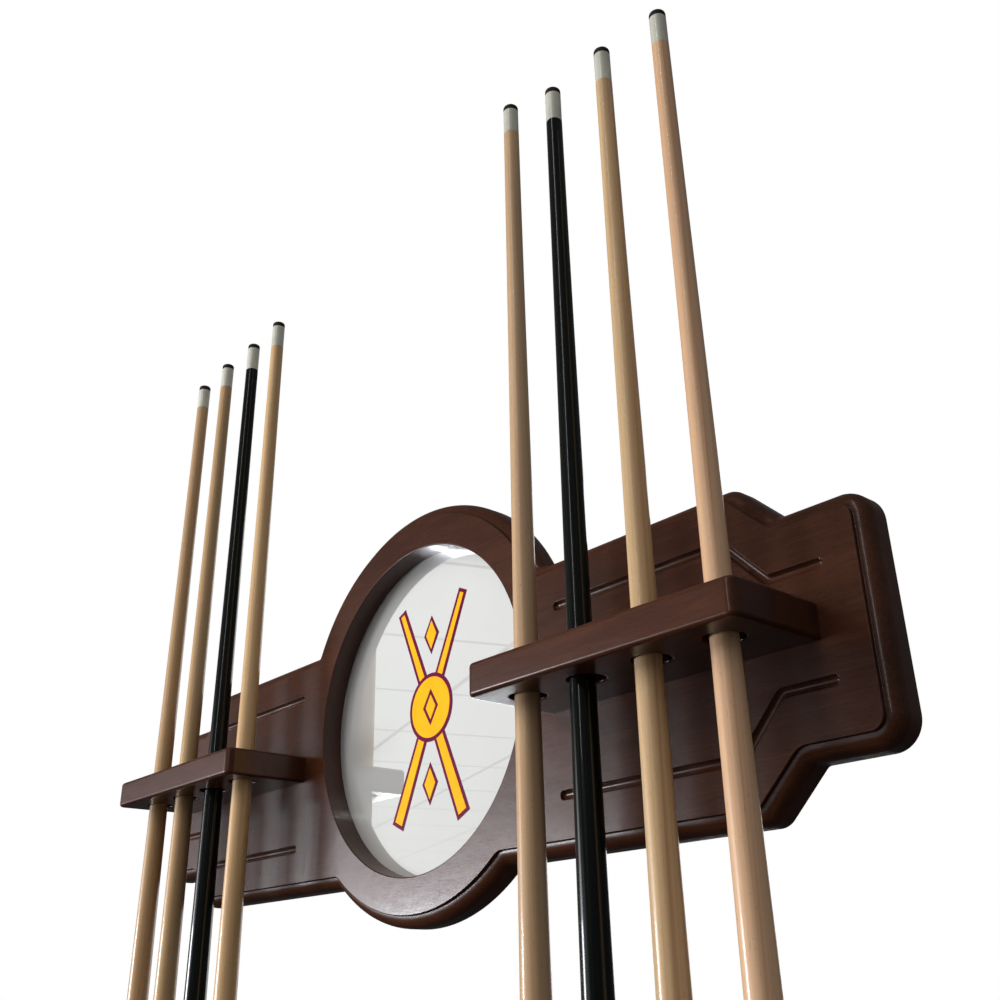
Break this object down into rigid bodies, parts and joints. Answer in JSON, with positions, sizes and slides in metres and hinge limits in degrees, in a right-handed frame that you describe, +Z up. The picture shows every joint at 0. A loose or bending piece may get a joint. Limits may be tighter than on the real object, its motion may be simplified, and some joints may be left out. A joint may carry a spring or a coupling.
{
  "type": "wall cue rack",
  "caption": "Wall rack for billiard cues: stepped dark wood board with a round mirror in a ring, drilled side shelves for the shafts, and a lower board with felted cups for the butts.",
  "frame": {"origin": "centre of the round mirror, on the wall plane", "axes": "+X along the wall to the viewer's right, +Y into the wall, +Z up"},
  "size_m": [0.8796, 0.1036, 1.5635],
  "materials": {
    "mahogany_wood": "satin dark mahogany lacquer, fine horizontal grain",
    "maple": "clear gloss lacquer over straight-grained maple",
    "butt_wood": "gloss lacquer over dark stained hardwood",
    "black_lacquer": "gloss black lacquer",
    "tip_leather": "dark pressed leather, chalked",
    "ferrule": "off-white, satin",
    "rubber": "matte black",
    "mirror": "plain silvered glass",
    "hardboard": "brown tempered hardboard",
    "zinc_steel": "zinc plated",
    "print_maroon": "satin printed film, maroon",
    "print_gold": "satin printed film, gold",
    "beech": "raw fluted beech",
    "felt": "dark green wool felt"
  },
  "bodies": {
    "rack": {"upper_backboard": "mahogany_wood", "mirror_glass": "mirror", "mirror_back_panel": "hardboard", "back_panel_screws": "zinc_steel", "emblem_border": "print_maroon", "emblem_fill": "print_gold", "left_cue_shelf": "mahogany_wood", "right_cue_shelf": "mahogany_wood", "shelf_screws": "zinc_steel", "shelf_dowels": "beech", "keyhole_plates": "zinc_steel", "keyhole_screws": "zinc_steel", "lower_backboard": "mahogany_wood", "left_cup_shelf": "mahogany_wood", "right_cup_shelf": "mahogany_wood", "cup_felts": "felt"},
    "cue_l1": {"cue_l1_tip": "tip_leather", "cue_l1_ferrule": "ferrule", "cue_l1_shaft": "maple", "cue_l1_butt": "butt_wood", "cue_l1_bumper": "rubber"},
    "cue_l2": {"cue_l2_tip": "tip_leather", "cue_l2_ferrule": "ferrule", "cue_l2_shaft": "maple", "cue_l2_butt": "butt_wood", "cue_l2_bumper": "rubber"},
    "cue_l3": {"cue_l3_tip": "tip_leather", "cue_l3_ferrule": "ferrule", "cue_l3_shaft": "black_lacquer", "cue_l3_butt": "black_lacquer", "cue_l3_bumper": "rubber"},
    "cue_l4": {"cue_l4_tip": "tip_leather", "cue_l4_ferrule": "ferrule", "cue_l4_shaft": "maple", "cue_l4_butt": "butt_wood", "cue_l4_bumper": "rubber"},
    "cue_r1": {"cue_r1_tip": "tip_leather", "cue_r1_ferrule": "ferrule", "cue_r1_shaft": "maple", "cue_r1_butt": "butt_wood", "cue_r1_bumper": "rubber"},
    "cue_r2": {"cue_r2_tip": "tip_leather", "cue_r2_ferrule": "ferrule", "cue_r2_shaft": "black_lacquer", "cue_r2_butt": "black_lacquer", "cue_r2_bumper": "rubber"},
    "cue_r3": {"cue_r3_tip": "tip_leather", "cue_r3_ferrule": "ferrule", "cue_r3_shaft": "maple", "cue_r3_butt": "butt_wood", "cue_r3_bumper": "rubber"},
    "cue_r4": {"cue_r4_tip": "tip_leather", "cue_r4_ferrule": "ferrule", "cue_r4_shaft": "maple", "cue_r4_butt": "butt_wood", "cue_r4_bumper": "rubber"}
  },
  "joints": [
    {"name": "cue_l1_lift", "type": "slide", "parent": "rack", "child": "cue_l1", "axis": [0, 0, 1], "range_m": [0, 0.12]},
    {"name": "cue_l2_lift", "type": "slide", "parent": "rack", "child": "cue_l2", "axis": [0, 0, 1], "range_m": [0, 0.12]},
    {"name": "cue_l3_lift", "type": "slide", "parent": "rack", "child": "cue_l3", "axis": [0, 0, 1], "range_m": [0, 0.12]},
    {"name": "cue_l4_lift", "type": "slide", "parent": "rack", "child": "cue_l4", "axis": [0, 0, 1], "range_m": [0, 0.12]},
    {"name": "cue_r1_lift", "type": "slide", "parent": "rack", "child": "cue_r1", "axis": [0, 0, 1], "range_m": [0, 0.12]},
    {"name": "cue_r2_lift", "type": "slide", "parent": "rack", "child": "cue_r2", "axis": [0, 0, 1], "range_m": [0, 0.12]},
    {"name": "cue_r3_lift", "type": "slide", "parent": "rack", "child": "cue_r3", "axis": [0, 0, 1], "range_m": [0, 0.12]},
    {"name": "cue_r4_lift", "type": "slide", "parent": "rack", "child": "cue_r4", "axis": [0, 0, 1], "range_m": [0, 0.12]}
  ]
}
